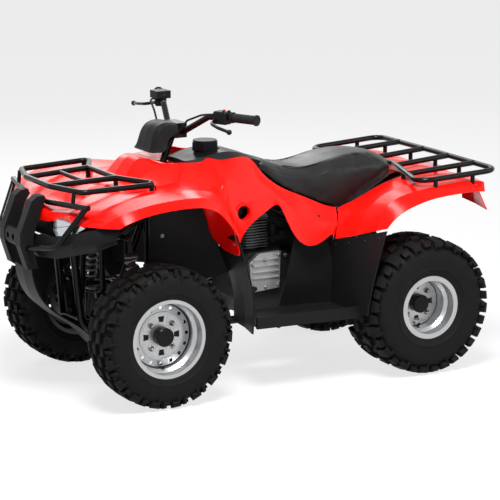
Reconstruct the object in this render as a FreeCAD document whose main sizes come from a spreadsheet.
import FreeCAD, Part
import Sketcher
import math
import os
import re
from FreeCAD import Rotation, Vector

# Quad bike: a 250 cubic centimetre utility machine with racks, a solid rear axle and
# double wishbones in front. Millimetres, +X forward, +Y to the rider's left, +Z up,
# origin on the ground under the middle of the machine.

doc = FreeCAD.newDocument("QuadBike")
sheet = doc.addObject("Spreadsheet::Sheet", "Sizes")

SIZES = [
    ("wheelbase", 1131.0, "front axle to rear axle"),
    ("front_axle_x", 518.5, "front axle ahead of the origin"),
    ("overall_width", 1035.0, "over the rear tyres and fender lips"),
    ("overall_height", 1088.0, "ground to the brake reservoir"),
    ("front_track", 790.0, "between the middles of the front tyres"),
    ("rear_track", 778.0, "between the middles of the rear tyres"),
    ("front_tyre_dia", 542.0, "over the lugs"),
    ("front_tyre_width", 178.0, "across the sidewalls"),
    ("rear_tyre_dia", 542.0, "over the lugs"),
    ("rear_tyre_width", 254.0, "across the sidewalls"),
    ("front_rim_dia", 318.0, "over the rim flange"),
    ("front_rim_width", 152.0, "flange to flange"),
    ("rear_rim_dia", 257.0, "over the rim flange"),
    ("rear_rim_width", 222.0, "flange to flange"),
    ("front_lug_height", 15.0, "lugs of the front tyres"),
    ("rear_lug_height", 17.0, "lugs of the rear tyres"),
    ("front_lug_length", 30.0, "lugs of the front tyres, round the tyre"),
    ("rear_lug_length", 34.0, "lugs of the rear tyres, round the tyre"),
    ("front_lug_count", 18, "lugs in each row of a front tyre"),
    ("rear_lug_count", 16, "lugs in each row of a rear tyre"),
    ("flange_height", 18.0, "rim flange above the bead seat"),
    ("rim_well_depth", 12.0, "drop centre below the bead seat"),
    ("rim_wall", 4.0, "pressed steel of the rims"),
    ("front_disc_y", 398.0, "inner face of the front wheel discs"),
    ("rear_disc_y", 392.0, "inner face of the rear wheel discs"),
    ("rim_hole_dia", 15.0, "small round holes round the front rim"),
    ("rim_hole_ring", 216.0, "circle that the small holes stand on"),
    ("window_width", 26.0, "cut-outs of the wheel disc"),
    ("window_height", 22.0, "cut-outs of the wheel disc, along the radius"),
    ("window_ring", 128.0, "circle that the cut-outs stand on"),
    ("window_count", 4, "cut-outs of the wheel disc"),
    ("rim_hole_count", 16, "small round holes round the front rim"),
    ("carcass_wall", 14.0, "tyre wall"),
    ("hub_cap_dia", 72.0, "black cap in the middle of each wheel"),
    ("hub_cap_length", 42.0, "cap proud of the wheel disc"),
    ("drum_dia", 172.0, "front brake drum"),
    ("drum_length", 62.0, "front brake drum"),
    ("spindle_dia", 28.0, "stub axle of the front knuckle"),
    ("running_gap", 0.3, "clearance of shafts and seated pieces"),
    ("kingpin_y", 300.0, "steering axis of each front wheel"),
    ("kingpin_dia", 34.0, "knuckle post between the two arms"),
    ("upper_ball_rise", 81.0, "upper arm's outer joint above the axle"),
    ("lower_ball_drop", 81.0, "lower arm's outer joint below the axle"),
    ("ball_dia", 36.0, "outer joint housings"),
    ("ball_height", 20.0, "outer joint housings"),
    ("arm_tube_dia", 24.0, "front arm tubes"),
    ("arm_pivot_y", 140.0, "lower arm's inner pivots"),
    ("arm_pivot_drop", 45.0, "lower arm's inner pivots below the axle"),
    ("upper_pivot_y", 124.0, "upper arm's inner pivots"),
    ("upper_pivot_rise", 107.0, "upper arm's inner pivots above the axle"),
    ("arm_spread", 105.0, "lower pivots before and behind the axle"),
    ("upper_spread", 88.0, "upper pivots before and behind the axle"),
    ("bush_length", 40.0, "inner pivot bushes"),
    ("stem_foot_rise", 55.0, "foot of the steering axis above the axle"),
    ("stem_dia", 28.0, "steering stem"),
    ("stem_collar_dia", 56.0, "bearings of the stem in the frame"),
    ("pitman_length", 60.0, "arm at the foot of the stem"),
    ("pitman_spread", 14.0, "each tie rod's pivot from the middle"),
    ("pitman_thickness", 10.0, "plate at the foot of the stem"),
    ("tie_rod_dia", 14.0, "tie rods"),
    ("rod_end_dia", 22.0, "tie rod ends"),
    ("open_pivot_gap", 9.0, "space left at the tie rods' outer ends"),
    ("frame_tube_dia", 32.0, "main frame tubes"),
    ("brace_tube_dia", 22.0, "cross tubes and brackets of the frame"),
    ("frame_bend", 60.0, "bends of the main frame tubes"),
    ("lower_rail_y", 105.0, "lower rails from the middle"),
    ("rail_drop", 56.0, "lower rails below the front axle"),
    ("rack_tube_dia", 22.0, "rack tubes"),
    ("rack_bend", 26.0, "bends of the rack tubes"),
    ("guard_tube_dia", 22.0, "tubes of the front guard"),
    ("guard_post_width", 44.0, "moulded uprights of the front guard"),
    ("guard_hole_dia", 24.0, "holes in the cross panel of the guard"),
    ("panel_wall", 4.0, "moulded body panels"),
    ("floor_wall", 6.0, "footboards and mudguards"),
    ("rail_height", 46.0, "side rail of the footboard"),
    ("handlebar_dia", 24.0, "handlebar tube"),
    ("handlebar_width", 820.0, "over the grips"),
    ("handlebar_rise", 84.0, "grips above the clamp"),
    ("handlebar_sweep", 132.0, "grips behind the clamp"),
    ("grip_dia", 34.0, "handlebar grips"),
    ("grip_length", 118.0, "handlebar grips"),
    ("grip_flange_dia", 42.0, "ends of the grips"),
    ("grip_flange_width", 6.0, "ends of the grips"),
    ("housing_depth", 46.0, "switch and throttle housings, front to back"),
    ("housing_length", 62.0, "switch and throttle housings, along the bar"),
    ("housing_height", 50.0, "switch and throttle housings"),
    ("housing_round", 8.0, "edges of those housings"),
    ("cable_dia", 8.0, "brake cables"),
    ("lever_dia", 13.0, "brake levers"),
    ("fuel_cap_dia", 108.0, "over the lobes of the cap"),
    ("fuel_cap_height", 40.0, "fuel filler cap"),
    ("cap_lobe_dia", 30.0, "finger lobes of the cap"),
    ("cap_lobe_count", 6, "finger lobes of the cap"),
    ("fin_count", 11, "fins of the cylinder"),
    ("fin_thickness", 3.5, "fins of the cylinder"),
    ("cylinder_dia", 96.0, "cylinder barrel under the fins"),
    ("fin_overhang", 16.0, "fins beyond the barrel"),
    ("head_height", 46.0, "cylinder head"),
    ("cover_depth", 22.0, "engine side covers"),
    ("cover_rib", 5.0, "ribs of the side covers"),
    ("intake_dia", 44.0, "tract from the air box to the cylinder"),
    ("exhaust_dia", 38.0, "exhaust pipe"),
    ("muffler_dia", 108.0, "silencer"),
    ("shock_dia", 54.0, "outside of the front springs"),
    ("shock_foot_y", 222.0, "front shocks' lower ends from the middle"),
    ("shock_head_y", 152.0, "front shocks' upper ends from the middle"),
    ("axle_dia", 36.0, "rear axle shaft"),
    ("axle_tube_dia", 92.0, "housing round the rear axle"),
    ("axle_tube_length", 300.0, "housing round the rear axle"),
    ("final_drive_dia", 155.0, "gear housing on the rear axle"),
    ("drive_arm_dia", 58.0, "arm that holds the drive shaft"),
    ("plain_arm_dia", 38.0, "arm on the other side"),
    ("hitch_bore", 20.0, "hole for the towing pin"),
    ("hitch_reach", 135.0, "end of the towing plate behind the axle"),
    ("well_clearance", 4.0, "rear tyre to the mudguard's inner edge"),
    ("valve_hole_dia", 57.0, "fuel valve hole in the side panel"),
    ("valve_ring_dia", 80.0, "raised ring round that hole"),
    ("valve_ring_depth", 12.0, "raised ring proud of the panel"),
]
for row, (name, value, note) in enumerate(SIZES, start=1):
    sheet.set(f"A{row}", name)
    sheet.set(f"B{row}", str(value))
    sheet.set(f"C{row}", note)
    sheet.setAlias(f"B{row}", name)
doc.recompute()


class Named:
    """The sheet's sizes as attributes."""


g = Named()
for name, value, note in SIZES:
    setattr(g, name, float(sheet.get(name)))

# Places that several pieces share.
rear_axle_x = g.front_axle_x - g.wheelbase
middle_x = g.front_axle_x - g.wheelbase / 2
half_width = g.overall_width / 2
front_axle_z = g.front_tyre_dia / 2
rear_axle_z = g.rear_tyre_dia / 2
UP = Vector(0, 0, 1)
ACROSS = Vector(0, 1, 0)
ALONG = Vector(1, 0, 0)
upper_ball_z = front_axle_z + g.upper_ball_rise
lower_ball_z = front_axle_z - g.lower_ball_drop
arm_pivot_z = front_axle_z - g.arm_pivot_drop
upper_pivot_z = front_axle_z + g.upper_pivot_rise
lower_rail_z = front_axle_z - g.rail_drop
FRAME_TOP_SHARE = 0.643
frame_height = FRAME_TOP_SHARE * g.overall_height - lower_rail_z
nodes = {}


def at(shares):
    """A point from its shares of the wheelbase, the half width and the height."""
    x_share, y_share, z_share = shares
    return Vector(middle_x + x_share * g.wheelbase, y_share * half_width, z_share * g.overall_height)


# The steering stem runs from a foot over the front axle to the handlebar clamp.
STEM_TOP_SHARES = (0.266, 0, 0.901)
stem_foot = Vector(g.front_axle_x, 0, front_axle_z + g.stem_foot_rise)
stem_top = at(STEM_TOP_SHARES)
STEM_AXIS = (stem_top - stem_foot).normalize()
STEM_FORWARD = ACROSS.cross(STEM_AXIS)


def frame_at(shares):
    """A point of the frame: shares of the wheelbase, of the lower rails' half width and of its height."""
    x_share, y_share, z_share = shares
    across = y_share * g.lower_rail_y
    return Vector(middle_x + x_share * g.wheelbase, across, lower_rail_z + z_share * frame_height)


def stem_at(height):
    """The point of the steering axis at a height above the ground."""
    return stem_foot + STEM_AXIS * ((height - stem_foot.z) / STEM_AXIS.z)


def bar_at(shares):
    """A point of the handlebar about its clamp: shares of its sweep, half width and rise."""
    x_share, y_share, z_share = shares
    reach = Vector(g.handlebar_sweep, g.handlebar_width / 2, g.handlebar_rise)
    return stem_top + Vector(x_share * reach.x, y_share * reach.y, z_share * reach.z)


def mirrored(shape):
    return shape.mirror(Vector(0, 0, 0), ACROSS)


def flipped(point):
    return Vector(point.x, -point.y, point.z)


def fused(shapes):
    whole = shapes[0].fuse(shapes[1:]) if len(shapes) > 1 else shapes[0]
    return whole


def node(name, shape):
    """A sub-part of the document: its shape was worked out from the sheet."""
    feature = doc.addObject("Part::Feature", name)
    feature.Shape = shape
    feature.Placement = FreeCAD.Placement()
    feature.Label = name
    nodes[name] = feature
    return feature


ALIASES = [name for name, value, note in SIZES]


def bound(text):
    """A sum on the sheet's names, as the other objects of the document read it."""
    return re.sub(r"[a-z][a-z0-9_]*", lambda word: "Sizes." + word[0] if word[0] in ALIASES else word[0], text)


def worth(text):
    """What such a sum comes to."""
    return float(sheet.evalExpression(text))


def keep(feature, name):
    """Names a finished sub-part of the document."""
    feature.Label = name
    nodes[name] = feature
    doc.recompute()
    return feature


def bind(feature, **sums):
    """Ties properties of a feature to the sheet, or sets those that are worked out from places."""
    for name, value in sums.items():
        if isinstance(value, str):
            feature.setExpression(name.replace("__", "."), bound(value))
        else:
            setattr(feature, name, value)
    return feature


def primitive(kind, name, place, direction, **sums):
    """A Part primitive that stands at a place and points along a direction."""
    made = bind(doc.addObject("Part::" + kind, name), **sums)
    made.Placement = FreeCAD.Placement(place, Rotation(UP, direction))
    return made


def joined(name, pieces, cutters=()):
    """Pieces fused into one, and then cut by others."""
    whole = pieces[0]
    if len(pieces) > 1:
        whole = doc.addObject("Part::MultiFuse", name + "_fused")
        whole.Shapes = pieces
    for number, tool in enumerate(cutters):
        less = doc.addObject("Part::Cut", f"{name}_cut_{number}")
        less.Base = whole
        less.Tool = tool
        whole = less
    return whole


def given(name, shape):
    """A shape that was worked out here, as an object that others can use."""
    made = doc.addObject("Part::Feature", name)
    made.Shape = shape
    return made


def rounded(name, solid, radius):
    """A solid with all its edges rounded."""
    doc.recompute()
    made = doc.addObject("Part::Fillet", name)
    made.Base = solid
    made.Edges = [(number + 1, radius, radius) for number in range(len(solid.Shape.Edges))]
    return made


def other_side(feature, name):
    """The mirror image of a sub-part, on the machine's other side."""
    twin = doc.addObject("Part::Mirroring", name + "_mirrored")
    twin.Source = feature
    twin.Normal = ACROSS
    return twin


def pair(feature, name):
    """A sub-part that has one solid on each side."""
    both = doc.addObject("Part::Compound", name)
    both.Links = [feature, other_side(feature, name)]
    return keep(both, name)


def own(body, role):
    """One of a body's own planes or axes."""
    return next(item for item in body.Origin.OriginFeatures if item.Role == role)


def attached(body, role, offset):
    made = body.newObject("Sketcher::SketchObject", "Sketch")
    made.AttachmentSupport = (own(body, role), "")
    made.MapMode = "FlatFace"
    if offset:
        made.AttachmentOffset = offset
    return made


def outline(body, role, corners, offset=None):
    """A sketch of straight lines on one of the body's own planes, each corner a pair of sums."""
    made = attached(body, role, offset)
    count = len(corners)
    places = [Vector(worth(u), worth(v), 0) for u, v in corners]
    lines = [Part.LineSegment(places[i], places[(i + 1) % count]) for i in range(count)]
    made.addGeometry(lines)
    made.addConstraint([Sketcher.Constraint("Coincident", i, 2, (i + 1) % count, 1) for i in range(count)])
    for i, corner in enumerate(corners):
        for kind, text in zip(("DistanceX", "DistanceY"), corner):
            index = made.addConstraint(Sketcher.Constraint(kind, -1, 1, i, 1, worth(text)))
            made.setExpression(f"Constraints[{index}]", bound(text))
    return made


def ring(body, role, dia, u="0", v="0", offset=None):
    """A sketch of one circle."""
    made = attached(body, role, offset)
    middle = Vector(worth(u), worth(v), 0)
    made.addGeometry(Part.Circle(middle, UP, worth(dia) / 2))
    index = made.addConstraint(Sketcher.Constraint("Diameter", 0, worth(dia)))
    made.setExpression(f"Constraints[{index}]", bound(dia))
    for kind, text in (("DistanceX", u), ("DistanceY", v)):
        index = made.addConstraint(Sketcher.Constraint(kind, -1, 1, 0, 3, worth(text)))
        made.setExpression(f"Constraints[{index}]", bound(text))
    return made


def pad(body, sketch, length, midplane=False, reverse=False):
    made = body.newObject("PartDesign::Pad", "Pad")
    made.Profile = sketch
    made.Midplane = midplane
    made.Reversed = reverse
    return bind(made, Length=length)


def pocket(body, sketch):
    """A cut right through the body, both ways from its sketch."""
    made = body.newObject("PartDesign::Pocket", "Pocket")
    made.Profile = sketch
    made.Type = "ThroughAll"
    made.Midplane = True
    return made


def revolved(body, sketch):
    """A sketch on the XY plane, turned about the Y axis."""
    made = body.newObject("PartDesign::Revolution", "Revolution")
    made.Profile = sketch
    made.ReferenceAxis = (own(body, "Y_Axis"), [""])
    made.Angle = 360
    return made


def around(body, features, count, role="Y_Axis"):
    """Repeats features round one of the body's axes."""
    made = body.newObject("PartDesign::PolarPattern", "PolarPattern")
    made.Originals = features
    made.Axis = (own(body, role), [""])
    made.Angle = 360
    body.Tip = made
    return bind(made, Occurrences=count)


def stand(body, x, y, z):
    """Puts a body at a place that the sheet gives."""
    return bind(body, Placement__Base__x=x, Placement__Base__y=y, Placement__Base__z=z)


def rod(start, end, dia):
    run = end - start
    return Part.makeCylinder(dia / 2, run.Length, start, run)


def disc(middle, axis, dia, length):
    """A cylinder about a point that is its middle."""
    half = Vector(axis).normalize() * (length / 2)
    return Part.makeCylinder(dia / 2, length, middle - half, axis)


def tube(points, dia, bend):
    """A round bar through points, its corners bent to one radius."""
    edges = []
    here = points[0]
    for before, corner, after in zip(points, points[1:], points[2:]):
        inward = (before - corner).normalize()
        outward = (after - corner).normalize()
        turn = math.pi - inward.getAngle(outward)
        if turn < math.radians(2):
            continue
        reach = bend * math.tan(turn / 2)
        reach = min(reach, 0.45 * (before - corner).Length, 0.45 * (after - corner).Length)
        radius = reach / math.tan(turn / 2)
        start = corner + inward * reach
        end = corner + outward * reach
        bisector = (inward + outward).normalize()
        centre = corner + bisector * (radius / math.cos(turn / 2))
        halfway = centre - bisector * radius
        edges.append(Part.makeLine(here, start))
        edges.append(Part.Arc(start, halfway, end).toShape())
        here = end
    edges.append(Part.makeLine(here, points[-1]))
    path = Part.Wire(edges)
    direction = points[1] - points[0]
    profile = Part.Wire([Part.makeCircle(dia / 2, points[0], direction)])
    return path.makePipeShell([profile], True, False)


def polygon(points):
    return Part.makePolygon(points + [points[0]])


def slab(points, push):
    """A flat outline pushed along a vector."""
    return Part.Face(polygon(points)).extrude(push)


def turned(profile, centre, axis, across):
    """A closed outline of (radius, along) pairs turned about an axis."""
    points = [centre + across * r + axis * along for r, along in profile]
    return Part.Face(polygon(points)).revolve(centre, axis, 360)


def inward_normals(grid):
    """For each point of a grid of points, the direction into the panel."""
    rows, columns = len(grid), len(grid[0])
    result = []
    for i in range(rows):
        line = []
        for j in range(columns):
            lengthwise = grid[min(i + 1, rows - 1)][j] - grid[max(i - 1, 0)][j]
            crosswise = grid[i][min(j + 1, columns - 1)] - grid[i][max(j - 1, 0)]
            line.append(lengthwise.cross(crosswise).normalize())
        result.append(line)
    return result


def panel(grid, wall, side=1):
    """A moulded panel: a skin through a grid of outer points, with a wall inside it."""
    normals = inward_normals(grid)
    rings = []
    for points, directions in zip(grid, normals):
        inner = [p + n * (wall * side) for p, n in zip(points, directions)]
        rings.append((points, inner))
    wires = [polygon(outer + inner[::-1]) for outer, inner in rings]
    skin = Part.makeLoft(wires, False, False)
    faces = list(skin.Faces)
    for outer, inner in (rings[0], rings[-1]):
        for j in range(len(outer) - 1):
            top = Part.makeLine(outer[j], outer[j + 1])
            bottom = Part.makeLine(inner[j], inner[j + 1])
            faces.append(Part.makeRuledSurface(top, bottom))
    shell = Part.makeShell(faces)
    shell.sewShape()
    if shell.ShapeType != "Shell":
        shell = shell.Shells[0]
    solid = Part.Solid(shell)
    if solid.Volume < 0:
        solid.reverse()
    return solid


def both_sides(half_rows):
    """Rows of points from the middle line out, made whole by their mirror image."""
    return [[flipped(p) for p in row[:0:-1]] + row for row in half_rows]


def body_loft(sections):
    """A closed solid through closed sections of points."""
    return Part.makeLoft([polygon(points) for points in sections], True, False)


# Front fender: hood, cowl and both wheel arches in one moulding, nose first.
FENDER_SHARES = [
    [
        (0.806, 0, 0.634), (0.804, 0.145, 0.634), (0.796, 0.251, 0.638), (0.778, 0.425, 0.654),
        (0.752, 0.618, 0.645), (0.712, 0.812, 0.649), (0.679, 0.893, 0.651),
    ],
    [
        (0.752, 0, 0.677), (0.752, 0.145, 0.677), (0.750, 0.251, 0.675), (0.736, 0.425, 0.684),
        (0.712, 0.638, 0.680), (0.685, 0.850, 0.682), (0.665, 0.916, 0.660),
    ],
    [
        (0.659, 0, 0.711), (0.659, 0.145, 0.711), (0.659, 0.251, 0.704), (0.653, 0.444, 0.712),
        (0.641, 0.676, 0.715), (0.630, 0.885, 0.706), (0.619, 0.928, 0.678),
    ],
    [
        (0.570, 0, 0.735), (0.570, 0.147, 0.735), (0.570, 0.251, 0.726), (0.566, 0.464, 0.733),
        (0.562, 0.705, 0.734), (0.566, 0.904, 0.722), (0.553, 0.935, 0.693),
    ],
    [
        (0.497, 0, 0.756), (0.493, 0.155, 0.753), (0.488, 0.251, 0.735), (0.485, 0.464, 0.737),
        (0.482, 0.719, 0.743), (0.477, 0.912, 0.732), (0.474, 0.941, 0.701),
    ],
    [
        (0.440, 0, 0.816), (0.436, 0.124, 0.812), (0.426, 0.247, 0.770), (0.419, 0.464, 0.743),
        (0.411, 0.719, 0.744), (0.402, 0.912, 0.733), (0.398, 0.941, 0.701),
    ],
    [
        (0.363, 0, 0.792), (0.358, 0.135, 0.798), (0.354, 0.280, 0.798), (0.352, 0.444, 0.746),
        (0.347, 0.719, 0.739), (0.348, 0.912, 0.724), (0.347, 0.939, 0.690),
    ],
    [
        (0.296, 0, 0.774), (0.296, 0.139, 0.781), (0.292, 0.290, 0.798), (0.281, 0.429, 0.735),
        (0.285, 0.705, 0.722), (0.303, 0.908, 0.692), (0.308, 0.935, 0.664),
    ],
    [
        (0.252, 0, 0.767), (0.252, 0.139, 0.772), (0.246, 0.292, 0.796), (0.221, 0.417, 0.719),
        (0.237, 0.676, 0.678), (0.265, 0.893, 0.643), (0.265, 0.924, 0.614),
    ],
    [
        (0.240, 0, 0.767), (0.240, 0.139, 0.770), (0.233, 0.294, 0.794), (0.191, 0.415, 0.708),
        (0.205, 0.657, 0.638), (0.232, 0.850, 0.599), (0.239, 0.908, 0.581),
    ],
]
# Side panel, front to back: top edge, two bulges and the lower outline.
SIDE_SHARES = [
    [(0.232, 0.294, 0.792), (0.188, 0.414, 0.706), (0.198, 0.580, 0.634), (0.212, 0.773, 0.588)],
    [(0.173, 0.294, 0.800), (0.156, 0.379, 0.732), (0.157, 0.464, 0.634), (0.164, 0.580, 0.496)],
    [(0.106, 0.292, 0.800), (0.103, 0.359, 0.735), (0.106, 0.437, 0.643), (0.106, 0.475, 0.551)],
    [(0.050, 0.290, 0.794), (0.046, 0.344, 0.732), (0.050, 0.406, 0.653), (0.050, 0.437, 0.588)],
    [(0.004, 0.294, 0.743), (0, 0.332, 0.708), (-0.005, 0.379, 0.662), (-0.018, 0.398, 0.621)],
    [(-0.067, 0.305, 0.682), (-0.069, 0.340, 0.664), (-0.067, 0.386, 0.634), (-0.055, 0.425, 0.597)],
    [(-0.133, 0.321, 0.649), (-0.133, 0.356, 0.625), (-0.124, 0.425, 0.579), (-0.104, 0.483, 0.492)],
    [(-0.203, 0.332, 0.616), (-0.203, 0.371, 0.597), (-0.199, 0.441, 0.551), (-0.190, 0.499, 0.485)],
    [(-0.281, 0.344, 0.588), (-0.274, 0.394, 0.570), (-0.258, 0.456, 0.533), (-0.232, 0.502, 0.487)],
]
# Rear fender wing, front to back: seat edge, two bulges, crease and lip.
WING_SHARES = [
    [
        (-0.288, 0.352, 0.585), (-0.278, 0.402, 0.568), (-0.240, 0.506, 0.489), (-0.274, 0.667, 0.511),
        (-0.320, 0.821, 0.537), (-0.340, 0.893, 0.550),
    ],
    [
        (-0.324, 0.348, 0.596), (-0.311, 0.410, 0.588), (-0.294, 0.522, 0.562), (-0.306, 0.667, 0.572),
        (-0.336, 0.827, 0.594), (-0.371, 0.908, 0.585),
    ],
    [
        (-0.380, 0.332, 0.614), (-0.375, 0.410, 0.621), (-0.363, 0.522, 0.625), (-0.364, 0.667, 0.636),
        (-0.380, 0.835, 0.642), (-0.416, 0.924, 0.614),
    ],
    [
        (-0.451, 0.317, 0.643), (-0.447, 0.410, 0.654), (-0.442, 0.522, 0.660), (-0.442, 0.667, 0.667),
        (-0.451, 0.843, 0.665), (-0.477, 0.933, 0.636),
    ],
    [
        (-0.566, 0.301, 0.673), (-0.566, 0.410, 0.678), (-0.566, 0.522, 0.682), (-0.566, 0.667, 0.686),
        (-0.570, 0.846, 0.682), (-0.570, 0.937, 0.651),
    ],
    [
        (-0.690, 0.290, 0.682), (-0.690, 0.410, 0.685), (-0.690, 0.522, 0.688), (-0.690, 0.667, 0.689),
        (-0.691, 0.843, 0.686), (-0.683, 0.928, 0.654),
    ],
    [
        (-0.762, 0.282, 0.673), (-0.762, 0.410, 0.676), (-0.762, 0.522, 0.678), (-0.760, 0.667, 0.678),
        (-0.753, 0.831, 0.675), (-0.734, 0.908, 0.649),
    ],
]
FLAP_SHARES = [
    [(-0.753, 0.483, 0.676), (-0.736, 0.696, 0.678), (-0.704, 0.893, 0.674)],
    [(-0.766, 0.483, 0.634), (-0.752, 0.696, 0.632), (-0.723, 0.904, 0.627)],
    [(-0.771, 0.483, 0.588), (-0.762, 0.696, 0.585), (-0.744, 0.912, 0.581)],
]
DECK_SHARES = [
    [(-0.591, 0, 0.678), (-0.591, 0.155, 0.678), (-0.591, 0.305, 0.676)],
    [(-0.690, 0, 0.688), (-0.690, 0.155, 0.688), (-0.690, 0.301, 0.684)],
    [(-0.773, 0, 0.674), (-0.773, 0.155, 0.674), (-0.766, 0.290, 0.673)],
]

# Tank cover and seat: closed sections, half of each from the lower edge to the crown.
TANK_SHARES = [
    [(0.258, 0.209, 0.746), (0.258, 0.201, 0.778), (0.258, 0.116, 0.789), (0.258, 0, 0.790)],
    [(0.203, 0.267, 0.746), (0.203, 0.263, 0.789), (0.203, 0.174, 0.801), (0.203, 0, 0.803)],
    [(0.124, 0.276, 0.746), (0.124, 0.274, 0.796), (0.124, 0.174, 0.814), (0.124, 0, 0.817)],
    [(0.053, 0.274, 0.746), (0.053, 0.272, 0.792), (0.053, 0.174, 0.805), (0.053, 0, 0.807)],
    [(-0.027, 0.263, 0.746), (-0.027, 0.259, 0.767), (-0.027, 0.166, 0.774), (-0.027, 0, 0.776)],
]
SEAT_SHARES = [
    [(0.035, 0.267, 0.741), (0.035, 0.255, 0.778), (0.035, 0.162, 0.792), (0.035, 0, 0.796)],
    [(-0.027, 0.278, 0.722), (-0.027, 0.267, 0.765), (-0.027, 0.162, 0.774), (-0.027, 0, 0.776)],
    [(-0.088, 0.294, 0.671), (-0.088, 0.274, 0.726), (-0.088, 0.162, 0.750), (-0.088, 0, 0.754)],
    [(-0.168, 0.309, 0.629), (-0.168, 0.290, 0.704), (-0.168, 0.178, 0.728), (-0.168, 0, 0.731)],
    [(-0.256, 0.321, 0.588), (-0.256, 0.301, 0.713), (-0.256, 0.201, 0.741), (-0.256, 0, 0.745)],
    [(-0.348, 0.321, 0.581), (-0.348, 0.294, 0.732), (-0.348, 0.216, 0.759), (-0.348, 0, 0.765)],
    [(-0.424, 0.305, 0.614), (-0.424, 0.282, 0.737), (-0.424, 0.209, 0.763), (-0.424, 0, 0.768)],
    [(-0.500, 0.288, 0.654), (-0.500, 0.267, 0.732), (-0.500, 0.193, 0.752), (-0.500, 0, 0.757)],
    [(-0.531, 0.259, 0.669), (-0.531, 0.236, 0.722), (-0.531, 0.170, 0.743), (-0.531, 0, 0.748)],
    [(-0.552, 0.216, 0.678), (-0.552, 0.193, 0.713), (-0.552, 0.143, 0.732), (-0.552, 0, 0.737)],
    [(-0.565, 0.158, 0.684), (-0.565, 0.139, 0.708), (-0.565, 0.100, 0.722), (-0.565, 0, 0.727)],
    [(-0.573, 0.104, 0.688), (-0.573, 0.093, 0.702), (-0.573, 0.066, 0.711), (-0.573, 0, 0.715)],
]


# Outline of the seat's side of the slanted joint between tank cover and seat.
PARTING_SHARES = [
    (0.042, 0, 0.717), (-0.035, 0, 0.818), (-0.619, 0, 0.818), (-0.619, 0, 0.551), (0.042, 0, 0.551),
]


def whole_section(half_shares):
    half = [at(shares) for shares in half_shares]
    return half + [flipped(p) for p in half[-2::-1]]


def rows_at(table):
    return [[at(shares) for shares in row] for row in table]


def build_body():
    fender = panel(both_sides(rows_at(FENDER_SHARES)), g.panel_wall)
    fender = fender.cut(rod(stem_foot, stem_top, g.stem_collar_dia + 2 * g.brace_tube_dia))
    node("front_fender", fender)
    side = panel(rows_at(SIDE_SHARES), g.panel_wall)
    hole_middle = at((0.110, 0.437, 0.614))
    valve_ring = disc(hole_middle, ACROSS, g.valve_ring_dia, 2 * g.valve_ring_depth)
    hole = disc(hole_middle, ACROSS, g.valve_hole_dia, 8 * g.valve_ring_depth)
    side = side.fuse(valve_ring).cut(hole)
    node("side_panel_left", side)
    node("side_panel_right", mirrored(side))
    wing = panel(rows_at(WING_SHARES), g.panel_wall)
    flap = panel(rows_at(FLAP_SHARES), g.panel_wall)
    deck = panel(both_sides(rows_at(DECK_SHARES)), g.panel_wall)
    node("rear_fender", fused([deck, wing, flap, mirrored(wing), mirrored(flap)]))
    tank = body_loft([whole_section(row) for row in TANK_SHARES])
    seat = body_loft([whole_section(row) for row in SEAT_SHARES])
    parting = [at(shares) for shares in PARTING_SHARES]
    across = ACROSS * g.overall_width
    parting = [p - across / 2 for p in parting]
    tank = tank.cut(slab([p + ALONG * -g.running_gap for p in parting], across))
    seat = seat.common(slab([p - ALONG * g.running_gap for p in parting], across))
    cap_seat = at((0.149, 0, 0.812))
    tank = tank.cut(Part.makeCylinder((g.fuel_cap_dia + g.panel_wall) / 2, g.fuel_cap_height, cap_seat))
    node("tank_cover", tank)
    node("seat", seat)
    cap = doc.addObject("PartDesign::Body", "fuel_cap")
    pad(cap, ring(cap, "XY_Plane", "fuel_cap_dia - cap_lobe_dia / 2"), "fuel_cap_height")
    lobe = ring(cap, "XY_Plane", "cap_lobe_dia", "(fuel_cap_dia - cap_lobe_dia) / 2")
    around(cap, [pad(cap, lobe, "fuel_cap_height * 0.8")], "cap_lobe_count", "Z_Axis")
    cap.Placement = FreeCAD.Placement(cap_seat, Rotation())
    keep(cap, "fuel_cap")


BUMPER_SHARES = [
    [
        (0.822, 0, 0.588), (0.822, 0.174, 0.588), (0.800, 0.367, 0.590), (0.767, 0.580, 0.618),
        (0.718, 0.734, 0.642), (0.659, 0.831, 0.647),
    ],
    [
        (0.827, 0, 0.542), (0.827, 0.174, 0.542), (0.806, 0.367, 0.555), (0.778, 0.580, 0.581),
        (0.727, 0.754, 0.599), (0.672, 0.843, 0.614),
    ],
    [
        (0.813, 0, 0.507), (0.813, 0.174, 0.507), (0.789, 0.367, 0.513), (0.753, 0.541, 0.537),
        (0.707, 0.676, 0.557), (0.656, 0.773, 0.588),
    ],
]
SKID_SHARES = [
    [(0.840, 0, 0.460), (0.838, 0.151, 0.465)],
    [(0.821, 0, 0.372), (0.819, 0.155, 0.379)],
    [(0.762, 0, 0.294), (0.760, 0.162, 0.301)],
    [(0.681, 0, 0.237), (0.679, 0.170, 0.243)],
    [(0.610, 0, 0.178), (0.610, 0.174, 0.178)],
    [(0.442, 0, 0.175), (0.442, 0.174, 0.175)],
]
LAMP_SHARES = [
    [(0.789, 0.352, 0.647), (0.796, 0.371, 0.618), (0.792, 0.398, 0.597)],
    [(0.760, 0.454, 0.665), (0.778, 0.493, 0.636), (0.773, 0.506, 0.608)],
    [(0.718, 0.551, 0.669), (0.736, 0.599, 0.649), (0.736, 0.614, 0.634)],
    [(0.686, 0.599, 0.676), (0.691, 0.622, 0.669), (0.697, 0.638, 0.660)],
]
POST_SHARES = [
    (0.794, 0, 0.722), (0.818, 0, 0.721), (0.840, 0, 0.704), (0.884, 0, 0.593), (0.884, 0, 0.551),
    (0.858, 0, 0.467),
    (0.821, 0, 0.467), (0.838, 0, 0.544), (0.835, 0, 0.579), (0.805, 0, 0.678), (0.787, 0, 0.706),
]
KNEE_SHARES = [
    (0.875, 0, 0.602), (0.882, 0, 0.588), (0.882, 0, 0.555), (0.875, 0, 0.544), (0.862, 0, 0.544),
    (0.862, 0, 0.602),
]
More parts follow.
